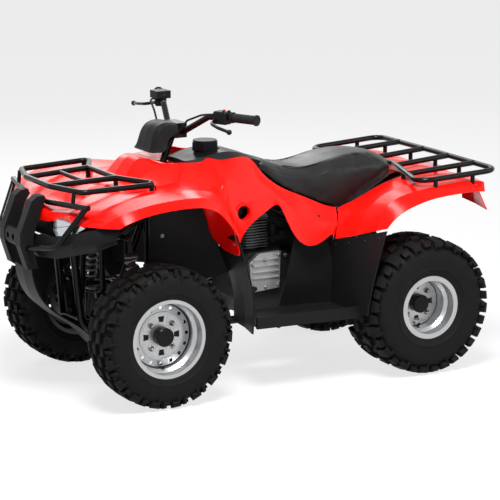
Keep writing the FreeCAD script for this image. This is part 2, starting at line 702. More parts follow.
GUARD_TOP_SHARES = [(0.785, 0.187, 0.699), (0.736, 0.665, 0.709)]
GUARD_SIDE_SHARES = [(0.738, 0.638, 0.708), (0.818, 0.506, 0.568), (0.856, 0.187, 0.542)]
FRONT_RIM_SHARES = [
    (0.778, 0, 0.754), (0.778, 0.213, 0.754), (0.730, 0.545, 0.753), (0.463, 0.584, 0.761),
    (0.541, 0.247, 0.764), (0.541, 0, 0.764),
]
FRONT_BAR_SHARES = [(0.778, 0.205, 0.754), (0.541, 0.240, 0.764)]
FRONT_POST_SHARES = [(0.543, 0.240, 0.764), (0.485, 0.576, 0.760)]
STRAP_SHARES = [(0.748, 0.483, 0.754), (0.753, 0.483, 0.706)]
REAR_RIM_SHARES = [
    (-0.798, 0, 0.721), (-0.798, 0.862, 0.719), (-0.477, 0.839, 0.701), (-0.531, 0.464, 0.704),
    (-0.587, 0.112, 0.704), (-0.587, 0, 0.704),
]
REAR_BAR_SHARES = [
    [(-0.579, 0.182, 0.704), (-0.798, 0.182, 0.721)],
    [(-0.520, 0.545, 0.704), (-0.798, 0.545, 0.721)],
]
REAR_POST_SHARES = [
    (-0.538, 0.421, 0.704), (-0.548, 0.846, 0.705), (-0.734, 0.545, 0.716), (-0.741, 0.182, 0.717),
    (-0.698, 0.854, 0.714),
]


def on_both_sides(shape):
    return [shape, mirrored(shape)]


def largest(shape):
    return max(shape.Solids, key=lambda solid: solid.Volume)


def highest(shape):
    return max(shape.Solids, key=lambda solid: solid.BoundBox.ZMax)


def footing(top, dia, below, reach):
    """A post that stands on the piece below, cut to its surface."""
    post = Part.makeCylinder(dia / 2, reach, top - UP * reach)
    return highest(post.cut(below))


def share_corners(table):
    """The sums that place an outline's shares in a body's own XZ plane."""
    middle = "front_axle_x - wheelbase / 2"
    return [(f"{middle} + wheelbase * ({x})", f"overall_height * ({z})") for x, _, z in table]


def build_uprights():
    """The guard's two moulded uprights and the cross panel at their knees, with its two round holes."""
    body = doc.addObject("PartDesign::Body", "guard_uprights")
    post_y = f"overall_width / 2 * {GUARD_POST_Y_SHARE}"
    pad(body, outline(body, "XZ_Plane", share_corners(KNEE_SHARES)), f"2 * {post_y}", midplane=True)
    for side in (1, -1):
        outboard = FreeCAD.Placement(Vector(0, 0, side * worth(post_y)), Rotation())
        post = outline(body, "XZ_Plane", share_corners(POST_SHARES), outboard)
        post.setExpression("AttachmentOffset.Base.z", bound(f"{side} * {post_y}"))
        pad(body, post, "guard_post_width", midplane=True)
    for side in (1, -1):
        height = f"overall_height * {KNEE_HOLE_SHARE}"
        hole = ring(body, "YZ_Plane", "guard_hole_dia", f"{side} * guard_hole_dia", height)
        pocket(body, hole)
    return keep(body, "guard_uprights").Shape


def build_front():
    bumper = panel(both_sides(rows_at(BUMPER_SHARES)), g.floor_wall, -1)
    skid = panel(both_sides(rows_at(SKID_SHARES)), g.floor_wall, -1)
    skid = skid.cut(nodes["frame"].Shape)
    node("skid_plate", largest(skid))
    fender = nodes["front_fender"].Shape
    lamp = panel(rows_at(LAMP_SHARES), g.floor_wall, -1)
    lamp = largest(lamp.cut(fender).cut(bumper))
    node("headlights", Part.makeCompound(on_both_sides(lamp)))
    uprights = build_uprights()
    node("bumper_cover", bumper.cut(uprights))
    top = tube([at(shares) for shares in GUARD_TOP_SHARES], g.guard_tube_dia, g.rack_bend)
    loop = tube([at(shares) for shares in GUARD_SIDE_SHARES], g.guard_tube_dia, 2 * g.rack_bend)
    loop = top.fuse(loop).cut(uprights)
    guard = Part.makeCompound(on_both_sides(loop))
    node("guard_tubes", guard)


GUARD_POST_Y_SHARE = 0.145
KNEE_HOLE_SHARE = 0.573


def build_racks():
    dia = g.rack_tube_dia
    fender = nodes["front_fender"].Shape
    guard = nodes["guard_tubes"].Shape
    rim = tube([at(shares) for shares in FRONT_RIM_SHARES], dia, g.rack_bend)
    bar = tube([at(shares) for shares in FRONT_BAR_SHARES], dia, g.rack_bend)
    strap = tube([at(shares) for shares in STRAP_SHARES], dia * 0.7, g.rack_bend).cut(guard)
    strap = highest(strap)
    pieces = []
    for shape in (rim, bar, strap):
        pieces += on_both_sides(shape)
    start = at(CROSS_BAR_SHARE)
    pieces.append(rod(start, flipped(start), dia * 0.8))
    for shares in FRONT_POST_SHARES:
        post = footing(at(shares), dia * 0.8, fender, 4 * dia)
        pieces += on_both_sides(post)
    node("front_rack", fused(pieces))

    fender = nodes["rear_fender"].Shape
    rim = tube([at(shares) for shares in REAR_RIM_SHARES], dia, 2 * g.rack_bend)
    pieces = on_both_sides(rim)
    for shares in REAR_BAR_SHARES:
        pieces += on_both_sides(tube([at(share) for share in shares], dia, g.rack_bend))
    for shares in REAR_POST_SHARES:
        post = footing(at(shares), dia * 0.8, fender, 4 * dia)
        pieces += on_both_sides(post)
    node("rear_rack", fused(pieces))


CROSS_BAR_SHARE = (0.653, 0.224, 0.759)

MUDFLAP_SHARES = [
    [(0.209, 0.506, 0.539), (0.219, 0.676, 0.562), (0.232, 0.850, 0.582)],
    [(0.170, 0.415, 0.441), (0.182, 0.638, 0.460), (0.198, 0.850, 0.481)],
    [(0.141, 0.415, 0.358), (0.155, 0.638, 0.368), (0.172, 0.850, 0.378)],
    [(0.133, 0.415, 0.286), (0.146, 0.638, 0.294), (0.166, 0.850, 0.306)],
    [(0.133, 0.415, 0.221), (0.146, 0.638, 0.221), (0.170, 0.850, 0.221)],
]
ARCH_WALL_SHARES = [
    [(0.444, 0.417, 0.735), (0.444, 0.359, 0.588), (0.441, 0.325, 0.496), (0.438, 0.309, 0.404)],
    [(0.351, 0.406, 0.722), (0.347, 0.356, 0.574), (0.342, 0.329, 0.487), (0.337, 0.317, 0.391)],
    [(0.267, 0.402, 0.689), (0.263, 0.375, 0.551), (0.257, 0.359, 0.469), (0.252, 0.352, 0.381)],
    [(0.212, 0.415, 0.588), (0.209, 0.415, 0.539), (0.190, 0.415, 0.487), (0.159, 0.415, 0.404)],
]
WELL_SHARES = [
    [(0.025, 0.415, 0.480), (-0.011, 0.667, 0.504), (-0.058, 0.831, 0.529), (-0.076, 0.924, 0.542)],
    [(0.005, 0.415, 0.414), (-0.013, 0.667, 0.421), (-0.031, 0.831, 0.431), (-0.039, 0.943, 0.436)],
    [(0.002, 0.415, 0.324), (0, 0.667, 0.324), (-0.004, 0.831, 0.324), (-0.008, 0.955, 0.327)],
    [(0.009, 0.415, 0.241), (0.009, 0.667, 0.241), (0.009, 0.831, 0.241), (0.007, 0.958, 0.246)],
]
INNER_WALL_SHARES = [
    [(0.203, 0.359, 0.244), (0.183, 0.375, 0.322), (0.166, 0.385, 0.414), (0.150, 0.390, 0.511)],
    [(0.113, 0.379, 0.244), (0.108, 0.390, 0.322), (0.099, 0.394, 0.414), (0.091, 0.394, 0.511)],
    [(0.012, 0.420, 0.244), (0.005, 0.420, 0.324), (0.008, 0.420, 0.414), (0.029, 0.420, 0.511)],
]
FLOOR_SHARES = [
    (0.124, 0.379, 0.241), (0.140, 0.638, 0.241), (0.157, 0.843, 0.241), (-0.253, 0.843, 0.241),
    (-0.251, 0.379, 0.241),
]
RAIL_SHARES = [(0.157, 0.835, 0.237), (-0.251, 0.835, 0.230)]


def well_at(shares):
    """A point of the rear mudguard: its x share runs forward from the front edge of the rear tyre."""
    x_share, y_share, z_share = shares
    tyre_front = rear_axle_x + g.rear_tyre_dia / 2 + g.well_clearance
    return Vector(tyre_front + x_share * g.wheelbase, y_share * half_width, z_share * g.overall_height)


def build_footwells():
    """Mudflaps with the inner walls of the front arches, and footwells with the walls beside the engine."""
    frame, side = nodes["frame"].Shape, nodes["side_panel_left"].Shape
    arch = panel(rows_at(ARCH_WALL_SHARES), g.panel_wall)
    flap = fused([panel(rows_at(MUDFLAP_SHARES), g.floor_wall), arch])
    flap = largest(flap.cut(side).cut(nodes["front_fender"].Shape).cut(frame))
    node("mudflap_left", flap)
    node("mudflap_right", mirrored(flap))
    floor = slab([at(shares) for shares in FLOOR_SHARES], UP * g.floor_wall)
    wall = panel([[well_at(shares) for shares in row] for row in WELL_SHARES], g.floor_wall)
    inner = panel([[well_at(shares) for shares in row] for row in INNER_WALL_SHARES], g.panel_wall, -1)
    front, rear = [at(shares) for shares in RAIL_SHARES]
    rail_corners = [front, front + UP * g.rail_height, rear + UP * g.rail_height, rear]
    rail = slab(rail_corners, ACROSS * 2 * g.floor_wall)
    well = fused([floor, rail, wall, inner]).cut(flap).cut(nodes["rear_fender"].Shape)
    well = largest(well.cut(side).cut(frame))
    node("footwell_left", well)
    node("footwell_right", mirrored(well))


LOWER_RAIL_SHARES = [
    (0.683, 0.724, 0.712), (0.659, 0.819, 0.124), (0.601, 1.000, 0), (-0.296, 1.000, 0),
    (-0.376, 1.000, 0.444), (-0.416, 0.952, 0.764),
]
UPPER_RAIL_SHARES = [
    (0.683, 0.724, 0.712), (0.522, 0.838, 0.794), (0.380, 0.838, 1.001), (0.035, 0.876, 0.980),
    (-0.115, 0.905, 0.799), (-0.416, 0.952, 0.764), (-0.707, 0.952, 0.980),
]
UPRIGHT_SHARES = [[(0.416, 0.933, 0), (0.416, 0.838, 0.943)], [(0.582, 0.933, 0), (0.582, 0.800, 0.753)]]
SHOCK_BAR_SHARES = (0.508, 1.571, 0.778)
HEAD_BAR_SHARES = (0.370, 0.838, 0.995)
CROSS_SHARES = [
    SHOCK_BAR_SHARES, (0.683, 0.724, 0.712), (0.659, 0.819, 0.124), (0.416, 0.933, 0),
    (-0.208, 0.905, 0.786), (-0.296, 1.000, 0),
    (-0.416, 0.952, 0.794), (-0.707, 0.952, 0.980),
]
STEP_FOOT_SHARES = [(0.053, 1.000, 0.014), (-0.190, 1.000, 0.014)]
STEP_INNER_SHARE = 0.367
STEP_OUTER_SHARE = 0.773


def steering_bar(height, half_span):
    """A cross tube behind the steering stem with the ring that holds the stem's bearing."""
    middle = stem_at(height)
    bar = disc(middle, ACROSS, g.brace_tube_dia, 2 * half_span)
    return [bar, disc(middle, STEM_AXIS, g.stem_collar_dia, g.bush_length)]


def arm_lugs(x, y, z):
    """The two plates that hold one bush of a front arm."""
    half_bush = g.bush_length / 2 + g.running_gap
    size = g.arm_tube_dia * 1.2
    plates = []
    for end in (half_bush, -half_bush - g.floor_wall):
        corner = Vector(x + end, g.lower_rail_y - size / 4, z - size / 2)
        plates.append(Part.makeBox(g.floor_wall, y - g.lower_rail_y + size * 0.55, size, corner))
    return plates


def build_frame():
    pieces = []
    for table in (LOWER_RAIL_SHARES, UPPER_RAIL_SHARES):
        pieces += on_both_sides(tube([frame_at(shares) for shares in table], g.frame_tube_dia, g.frame_bend))
    floor_z = at(FLOOR_SHARES[0]).z - g.brace_tube_dia / 2 - g.running_gap
    lines = [[frame_at(shares) for shares in table] for table in UPRIGHT_SHARES]
    for shares in STEP_FOOT_SHARES:
        foot = frame_at(shares)
        inner = Vector(foot.x, STEP_INNER_SHARE * half_width, floor_z)
        lines.append([foot, inner, Vector(foot.x, STEP_OUTER_SHARE * half_width, floor_z)])
    brace_half = g.upper_spread + g.bush_length
    brace_y = UPRIGHT_SHARES[0][0][1] * g.lower_rail_y
    brace_middle = Vector(g.front_axle_x, brace_y, upper_pivot_z)
    lines.append([brace_middle - ALONG * brace_half, brace_middle + ALONG * brace_half])
    for points in lines:
        pieces += on_both_sides(tube(points, g.brace_tube_dia, g.brace_tube_dia))
    for shares in CROSS_SHARES:
        start = frame_at(shares)
        pieces.append(rod(start, flipped(start), g.brace_tube_dia))
    for end in (1, -1):
        lower = arm_lugs(g.front_axle_x + end * g.arm_spread, g.arm_pivot_y, arm_pivot_z)
        upper = arm_lugs(g.front_axle_x + end * g.upper_spread, g.upper_pivot_y, upper_pivot_z)
        for plate in lower + upper:
            pieces += on_both_sides(plate)
    head = frame_at(HEAD_BAR_SHARES)
    pieces += steering_bar(head.z, head.y) + steering_bar(upper_pivot_z, brace_y)
    frame = fused(pieces)
    bore = rod(stem_foot, stem_top, g.stem_dia + 2 * g.running_gap)
    node("frame", frame.cut(bore))


def front_arm(spread, pivot_y, pivot_z, ball_z, tube_drop):
    """The two tubes of one wishbone with its inner bushes and its outer joint."""
    ball = Vector(g.front_axle_x, g.kingpin_y, ball_z)
    pieces = [disc(ball, UP, g.ball_dia, g.ball_height)]
    end_point = ball - UP * tube_drop
    for end in (1, -1):
        pivot = Vector(g.front_axle_x + end * spread, pivot_y, pivot_z)
        pieces.append(disc(pivot, ALONG, g.arm_tube_dia * 1.2, g.bush_length))
        pieces.append(rod(pivot, end_point, g.arm_tube_dia * 0.8))
    return fused(pieces)


# A front shock in shares of its length, and its radii in shares of the spring's.
SHOCK_STEP_SHARES = [
    (0.0, 0.34), (0.3, 0.34), (0.3, 1.0), (0.34, 1.0), (0.34, 0.86),
    (0.84, 0.86), (0.84, 1.06), (0.9, 1.06), (0.9, 0.5), (0.97, 0.5),
]


def shock(foot, head, dia):
    """A spring over a damper: foot rod, lower seat, coil, upper seat and head."""
    run = head - foot
    corners = [("0", "0")]
    for along_share, radius_share in SHOCK_STEP_SHARES:
        corners.append((f"{dia} / 2 * {radius_share}", f"{run.Length} * {along_share}"))
    corners.append(("0", f"{run.Length} * {SHOCK_STEP_SHARES[-1][0]}"))
    body = doc.addObject("PartDesign::Body", "shock")
    revolved(body, outline(body, "XY_Plane", corners))
    body.Placement = FreeCAD.Placement(foot, Rotation(ACROSS, run))
    doc.recompute()
    return body


def build_suspension():
    part_way = (g.kingpin_y - g.shock_foot_y) / (g.kingpin_y - g.arm_pivot_y)
    seat_z = lower_ball_z + (arm_pivot_z - lower_ball_z) * part_way
    seat_middle = Vector(g.front_axle_x, g.shock_foot_y, seat_z)
    lower = front_arm(g.arm_spread, g.arm_pivot_y, arm_pivot_z, lower_ball_z, g.ball_height / 4)
    lower = lower.fuse(disc(seat_middle, ALONG, g.arm_tube_dia * 0.8, 2 * g.arm_spread * part_way))
    upper = front_arm(g.upper_spread, g.upper_pivot_y, upper_pivot_z, upper_ball_z, 0)
    arms = on_both_sides(lower) + on_both_sides(upper)
    node("front_arms", Part.makeCompound(arms))
    bar = frame_at(SHOCK_BAR_SHARES)
    foot = Vector(bar.x, seat_middle.y, seat_z)
    head = Vector(bar.x, g.shock_head_y, bar.z)
    sprung = shock(foot, head, "shock_dia").Shape
    sprung = largest(sprung.cut(lower).cut(nodes["frame"].Shape))
    node("front_shocks", Part.makeCompound(on_both_sides(sprung)))


def build_knuckle():
    """The left knuckle: post, backing plate, stub axle and steering arm."""
    kingpin = Vector(g.front_axle_x, g.kingpin_y, front_axle_z)
    foot = Vector(kingpin.x, kingpin.y, lower_ball_z + g.ball_height / 2 + g.running_gap)
    post = primitive(
        "Cylinder", "kingpin", foot, UP,
        Radius="kingpin_dia / 2", Height="upper_ball_rise + lower_ball_drop - ball_height - 2 * running_gap")
    stub = primitive(
        "Cylinder", "stub_axle", kingpin, ACROSS,
        Radius="spindle_dia / 2", Height="front_disc_y - kingpin_y + hub_cap_length / 2")
    plate_y = g.front_disc_y - g.drum_length - g.floor_wall
    plate = primitive(
        "Cylinder", "backing_plate", Vector(kingpin.x, plate_y, kingpin.z), ACROSS,
        Radius="drum_dia / 2", Height="floor_wall - running_gap")
    outer = tie_rod_ends()[1]
    boss_top = outer.z - g.rod_end_dia / 2 - g.open_pivot_gap
    boss = primitive(
        "Cylinder", "steering_boss", Vector(outer.x, outer.y, boss_top - g.tie_rod_dia), UP,
        Radius="rod_end_dia / 2", Height="tie_rod_dia")
    arm_start = Vector(kingpin.x, kingpin.y, boss_top - g.tie_rod_dia / 2)
    arm = primitive(
        "Cylinder", "steering_arm", arm_start, ALONG * -1,
        Radius="tie_rod_dia / 2", Height=kingpin.x - outer.x)
    knuckle = joined("knuckle", [post, stub, plate, boss, arm])
    keep(knuckle, "knuckle_left")
    keep(other_side(knuckle, "knuckle"), "knuckle_right")


def tie_rod_ends():
    """Inner and outer end of the left tie rod."""
    lift = g.pitman_thickness / 2 + g.running_gap + g.rod_end_dia / 2
    inner = stem_foot - STEM_FORWARD * g.pitman_length + ACROSS * g.pitman_spread + STEM_AXIS * lift
    outer = Vector(inner.x, g.kingpin_y, inner.z)
    return inner, outer


def grip(bar_end, along):
    """A rubber grip over the end of the bar, with a flange at each end."""
    body = doc.addObject("PartDesign::Body", "grip")
    bore, flange, barrel = "handlebar_dia / 2", "grip_flange_dia / 2", "grip_dia / 2"
    corners = [
        (bore, "0"), (flange, "0"), (flange, "grip_flange_width"), (barrel, "grip_flange_width"),
        (barrel, "grip_length - grip_flange_width"), (flange, "grip_length - grip_flange_width"),
        (flange, "grip_length"), ("0", "grip_length"), ("0", "grip_length - grip_flange_width / 2"),
        (bore, "grip_length - grip_flange_width / 2"),
    ]
    revolved(body, outline(body, "XY_Plane", corners))
    start = bar_end - along * (g.grip_length - g.grip_flange_width / 2)
    body.Placement = FreeCAD.Placement(start, Rotation(ACROSS, along))
    return body


def housing(name, middle, along):
    """A rounded switch housing about the handlebar."""
    size = Vector(g.housing_depth, g.housing_length, g.housing_height)
    turn = Rotation(ACROSS, along)
    box = doc.addObject("Part::Box", name)
    bind(box, Length="housing_depth", Width="housing_length", Height="housing_height")
    box.Placement = FreeCAD.Placement(middle - turn.multVec(size * 0.5), turn)
    return rounded(name + "_rounded", box, g.housing_round)


def build_steering():
    foot = stem_foot - STEM_AXIS * (g.pitman_thickness / 2)
    half = g.pitman_spread + g.rod_end_dia / 2
    reach = STEM_FORWARD * (g.pitman_length + g.rod_end_dia / 2)
    front = foot + STEM_FORWARD * (g.stem_dia / 2)
    corners = [
        front + ACROSS * (g.stem_dia / 2), foot - reach + ACROSS * half,
        foot - reach - ACROSS * half, front - ACROSS * (g.stem_dia / 2),
    ]
    pitman = given("pitman_arm", slab(corners, STEM_AXIS * g.pitman_thickness))
    stem = primitive(
        "Cylinder", "stem_tube", foot, STEM_AXIS, Radius="stem_dia / 2", Height=(stem_top - foot).Length)
    bar_points = [bar_at(shares) for shares in BAR_SHARES]
    bar = fused(on_both_sides(tube(bar_points, g.handlebar_dia, 2 * g.handlebar_dia)))
    node("handlebar", bar)
    cover = panel(both_sides([[bar_at(shares) for shares in row] for row in BAR_COVER_SHARES]), g.panel_wall)
    node("bar_cover", cover)
    corner = bar_points[0] - Vector(g.handlebar_dia, 2 * g.handlebar_dia, g.handlebar_dia)
    clamp = primitive(
        "Box", "bar_clamp", corner, UP,
        Length="2.6 * handlebar_dia", Width="4 * handlebar_dia", Height="2.4 * handlebar_dia")
    stem = joined("steering_stem", [stem, pitman, clamp], [nodes["handlebar"], nodes["bar_cover"]])
    keep(stem, "steering_stem")

    along = (bar_points[-1] - bar_points[-2]).normalize()
    pair(grip(bar_points[-1], along), "grips")
    switch = housing("switch_box", bar_at(SWITCH_SHARE), along)
    throttle = housing("throttle_box", flipped(bar_at(SWITCH_SHARE)), flipped(along))
    low, high = [bar_at(shares) for shares in RESERVOIR_SHARES]
    size = high - low
    reservoir = primitive("Box", "brake_reservoir", low, UP, Length=size.x, Width=size.y, Height=size.z)
    throttle = joined("throttle", [throttle, reservoir], [nodes["handlebar"]])
    switch = joined("switch", [switch], [nodes["handlebar"]])
    housings = doc.addObject("Part::Compound", "bar_housings")
    housings.Links = [switch, throttle]
    housings = keep(housings, "bar_housings").Shape
    lever = tube([bar_at(shares) for shares in LEVER_SHARES], g.lever_dia, 3 * g.lever_dia)
    lever = lever.fuse(Part.makeSphere(g.lever_dia * 0.8, bar_at(LEVER_SHARES[-1])))
    levers = [largest(piece.cut(housings)) for piece in on_both_sides(lever)]
    node("brake_levers", Part.makeCompound(levers))
    cable = tube([bar_at(shares) for shares in CABLE_SHARES], g.cable_dia, 4 * g.cable_dia)
    cables = [largest(piece.cut(housings)) for piece in on_both_sides(cable)]
    node("control_cables", Part.makeCompound(cables))

    inner, outer = tie_rod_ends()
    shank = primitive(
        "Cylinder", "tie_rod", inner, ACROSS, Radius="tie_rod_dia / 2", Height="kingpin_y - pitman_spread")
    inner_end = primitive(
        "Cylinder", "inner_rod_end", inner - STEM_AXIS * (g.rod_end_dia / 2), STEM_AXIS,
        Radius="rod_end_dia / 2", Height="rod_end_dia")
    outer_end = primitive("Sphere", "outer_rod_end", outer, UP, Radius="rod_end_dia / 2")
    tie_rod = joined("tie_rod", [shank, inner_end, outer_end])
    keep(tie_rod, "tie_rod_left")
    keep(other_side(tie_rod, "tie_rod"), "tie_rod_right")


BAR_SHARES = [
    (-0.038, 0, -0.102), (-0.053, 0.151, -0.079), (-0.371, 0.463, 0.779), (-0.674, 0.732, 0.898),
    (-1.038, 1.000, 0.898),
]
SWITCH_SHARE = (-0.538, 0.639, 0.850)
RESERVOIR_SHARES = [(-0.765, -0.707, 0.921), (-0.295, -0.561, 1.279)]
LEVER_SHARES = [
    (-0.477, 0.610, 0.767), (-0.098, 0.663, 0.660), (-0.083, 0.829, 0.564), (-0.174, 0.988, 0.469),
]
CABLE_SHARES = [
    (-0.462, 0.585, 0.969), (-0.038, 0.541, 0.969), (0.129, 0.341, 0.588), (0.220, 0.180, -0.221),
    (0.386, 0.083, -0.602),
]
BAR_COVER_SHARES = [
    [(1.106, 0, -0.900), (1.091, 0.146, -0.900), (1.023, 0.200, -0.900), (0.720, 0.224, -0.900)],
    [(0.962, 0, -0.305), (0.947, 0.137, -0.305), (0.871, 0.185, -0.340), (0.568, 0.215, -0.602)],
    [(0.765, 0, 0.255), (0.750, 0.122, 0.231), (0.689, 0.166, 0.136), (0.492, 0.195, -0.364)],
    [(0.462, 0, 0.398), (0.462, 0.112, 0.374), (0.417, 0.151, 0.279), (0.326, 0.185, -0.186)],
    [(0.129, 0, 0.326), (0.129, 0.107, 0.302), (0.129, 0.146, 0.207), (0.129, 0.176, -0.126)],
]

# Tyre sections in shares: of the height from bead to tread and of half the width.
CARCASS_SHARES = [(0.55, 1.0), (0.86, 0.89), (0.985, 0.6), (1.0, 0.04)]
CAVITY_SHARE = (0.84, 0.7)
# A lug's outline: shares of half the width, and of the lug's height down from its tip.
LUG_SHARES = [(0.99, 1.7), (0.84, 0.28), (0.08, 0.0)]


def on_ray(angle, point, side):
    """A point of a tyre's section, a radius and a distance from the middle, at an angle round the wheel."""
    radius, across = point
    return Vector(radius * math.sin(angle), side * across, radius * math.cos(angle))


def strip(low, high, rays, inner_rays, side):
    """A flat face between two points of the section, from one ray to the next."""
    ends = [on_ray(angle, low, side) for angle in rays]
    ends += [on_ray(angle, high, side) for angle in inner_rays[::-1]]
    return Part.Face(polygon(ends))


def lug_faces(base, tips, rays, tip_rays, side):
    """A lug on one flat of the carcass: its top narrows from the flat to the lug's own length."""
    faces = [strip(base[0], tips[0], rays, tip_rays, side), strip(base[-1], tips[-1], rays, tip_rays, side)]
    faces += [strip(low, high, tip_rays, tip_rays, side) for low, high in zip(tips, tips[1:])]
    for angle, tip_angle in zip(rays, tip_rays):
        foot = [on_ray(angle, point, side) for point in base]
        edge = [on_ray(tip_angle, point, side) for point in tips]
        for i in range(len(tips) - 1):
            faces.append(Part.Face(polygon([foot[i], foot[i + 1], edge[i]])))
            faces.append(Part.Face(polygon([foot[i + 1], edge[i + 1], edge[i]])))
    return faces


def tyre(kind):
    """A tyre in flat steps, two to each pitch of its lugs. The second row of lugs stands half a pitch on."""
    def size(name):
        return getattr(g, f"{kind}_{name}")

    tip, half = size("tyre_dia") / 2, size("tyre_width") / 2
    seat, bead = size("rim_dia") / 2 - g.flange_height, size("rim_width") / 2 - g.rim_wall
    height = tip - size("lug_height") - seat
    steps = 2 * int(size("lug_count"))
    step = 2 * math.pi / steps
    round_up = 1 / math.cos(step / 2)
    wall = [(seat + high * height, wide * half) for high, wide in CARCASS_SHARES]
    cavity = (seat + CAVITY_SHARE[0] * height, CAVITY_SHARE[1] * half)
    flange = (seat + g.flange_height) * round_up
    beads = [(seat * round_up, bead - g.carcass_wall), (seat * round_up, bead), (flange, bead)]
    section = [cavity] + beads + wall
    tips = [(tip - down * size("lug_height"), wide * half) for wide, down in LUG_SHARES]
    narrower = (step - size("lug_length") / tip) / 2
    base = section[-len(LUG_SHARES):]
    faces = []
    for number in range(steps):
        rays = [number * step, (number + 1) * step]
        tip_rays = [rays[0] + narrower, rays[1] - narrower]
        for row, side in enumerate((1, -1)):
            has_lug = (number + row) % 2 == 0
            plain = section[:1 - len(base)] if has_lug else section
            faces += [strip(low, high, rays, rays, side) for low, high in zip(plain, plain[1:])]
            if has_lug:
                faces += lug_faces(base, tips, rays, tip_rays, side)
        for radius, across in (cavity, wall[-1]):
            faces.append(strip((radius, across), (radius, -across), rays, rays, 1))
    shell = Part.makeShell(faces)
    shell.sewShape()
    solid = Part.Solid(shell)
    if solid.Volume < 0:
        solid.reverse()
    return given(kind + "_tyre", solid)


def wheel_rim(kind, holes):
    """A left rim: a rolled barrel with a dished disc, its four windows and a ring of small holes."""
    wall = "rim_wall"
    flange = f"{kind}_rim_dia / 2"
    seat = f"({flange} - flange_height)"
    half = f"{kind}_rim_width / 2"
    bead = f"({half} - rim_wall)"
    shelf = f"({bead} - 2 * flange_height)"
    slope = f"({shelf} - rim_well_depth)"
    well = f"({seat} - rim_well_depth)"
    top = [(flange, half), (flange, bead), (seat, bead), (seat, shelf), (well, slope)]
    low = [
        (f"{seat} - {wall}", half), (f"{seat} - {wall}", f"{shelf} - {wall} / 2"),
        (f"{well} - {wall}", f"{slope} - {wall} / 2"),
    ]
    barrel = top + [(r, f"-1 * ({y})") for r, y in top[::-1] + low] + low[::-1]
    body = doc.addObject("PartDesign::Body", kind + "_rim")
    revolved(body, outline(body, "XY_Plane", barrel))
    face = f"({kind}_disc_y - {kind}_track / 2)"
    bore = "hub_cap_dia / 2 + running_gap"
    rest = "(window_ring / 2 + window_height)"
    reach = f"({well} - {wall} / 2)"
    dish = [
        (bore, face), (rest, face), (reach, f"{face} - 2 * {wall}"), (reach, f"{face} - {wall}"),
        (f"{rest} + {wall}", f"{face} + {wall}"), (bore, f"{face} + {wall}"),
    ]
    revolved(body, outline(body, "XY_Plane", dish))
    inner, outer = "window_ring / 2 - window_height / 2", "window_ring / 2 + window_height / 2"
    window = [
        ("window_width * 0.35", inner), ("window_width / 2", outer),
        ("-1 * window_width / 2", outer), ("-1 * window_width * 0.35", inner),
    ]
    cut_out = pocket(body, outline(body, "XZ_Plane", window))
    around(body, [cut_out], "window_count")
    if holes:
        hole = pocket(body, ring(body, "XZ_Plane", "rim_hole_dia", "rim_hole_ring / 2"))
        around(body, [hole], "rim_hole_count")
    return body


def hub(radii_and_ends):
    """A stepped round body turned about the wheel's axis."""
    body = doc.addObject("PartDesign::Body", "hub")
    revolved(body, outline(body, "XY_Plane", radii_and_ends))
    return body


def build_wheels():
    for kind, axle, holes in (("front", "front_axle_x", True), ("rear", "front_axle_x - wheelbase", False)):
        for body in (tyre(kind), wheel_rim(kind, holes)):
            name = body.Label
            stand(body, axle, f"{kind}_track / 2", f"{kind}_tyre_dia / 2")
            keep(body, name + "_left")
            keep(other_side(body, name), name + "_right")
    cap, drum, bore = "hub_cap_dia / 2", "drum_dia / 2", "spindle_dia / 2 + running_gap"
    depth = "hub_cap_length / 2 + running_gap"
    front = hub([
        (bore, "-1 * drum_length"), (drum, "-1 * drum_length"), (drum, "0"), (cap, "0"),
        (cap, "hub_cap_length * 0.9"), ("hub_cap_dia * 0.45", "hub_cap_length"), ("0", "hub_cap_length"),
        ("0", depth), (bore, depth),
    ])
    stand(front, "front_axle_x", "front_disc_y", "front_tyre_dia / 2")
    keep(front, "front_hub_left")
    keep(other_side(front, "front_hub"), "front_hub_right")
    shaft, flange = "axle_dia / 2", "window_ring / 2"
    ends = [
        ("0", "rear_disc_y + hub_cap_length"), ("hub_cap_dia * 0.45", "rear_disc_y + hub_cap_length"),
        (cap, "rear_disc_y + hub_cap_length * 0.9"), (cap, "rear_disc_y"), (flange, "rear_disc_y"),
        (flange, "rear_disc_y - 3 * rim_wall"), (shaft, "rear_disc_y - 3 * rim_wall"),
    ]
    drum_start = "(axle_tube_length / 2 + 2 * rim_wall)"
    brake = [
        (shaft, f"-1 * {drum_start}"), (drum, f"-1 * {drum_start}"),
        (drum, f"-1 * {drum_start} - drum_length"), (shaft, f"-1 * {drum_start} - drum_length"),
    ]
    axle = hub(ends + brake + [(r, f"-1 * ({y})") for r, y in ends[::-1]])
    stand(axle, "front_axle_x - wheelbase", "0", "rear_tyre_dia / 2")
    keep(axle, "rear_axle")


PIVOT_SHARE = (-0.288, 0, 0.159)
REAR_SHOCK_SHARES = [(-0.423, 0, 0.283), (-0.414, 0, 0.770)]
DRIVE_SHARE = 0.2


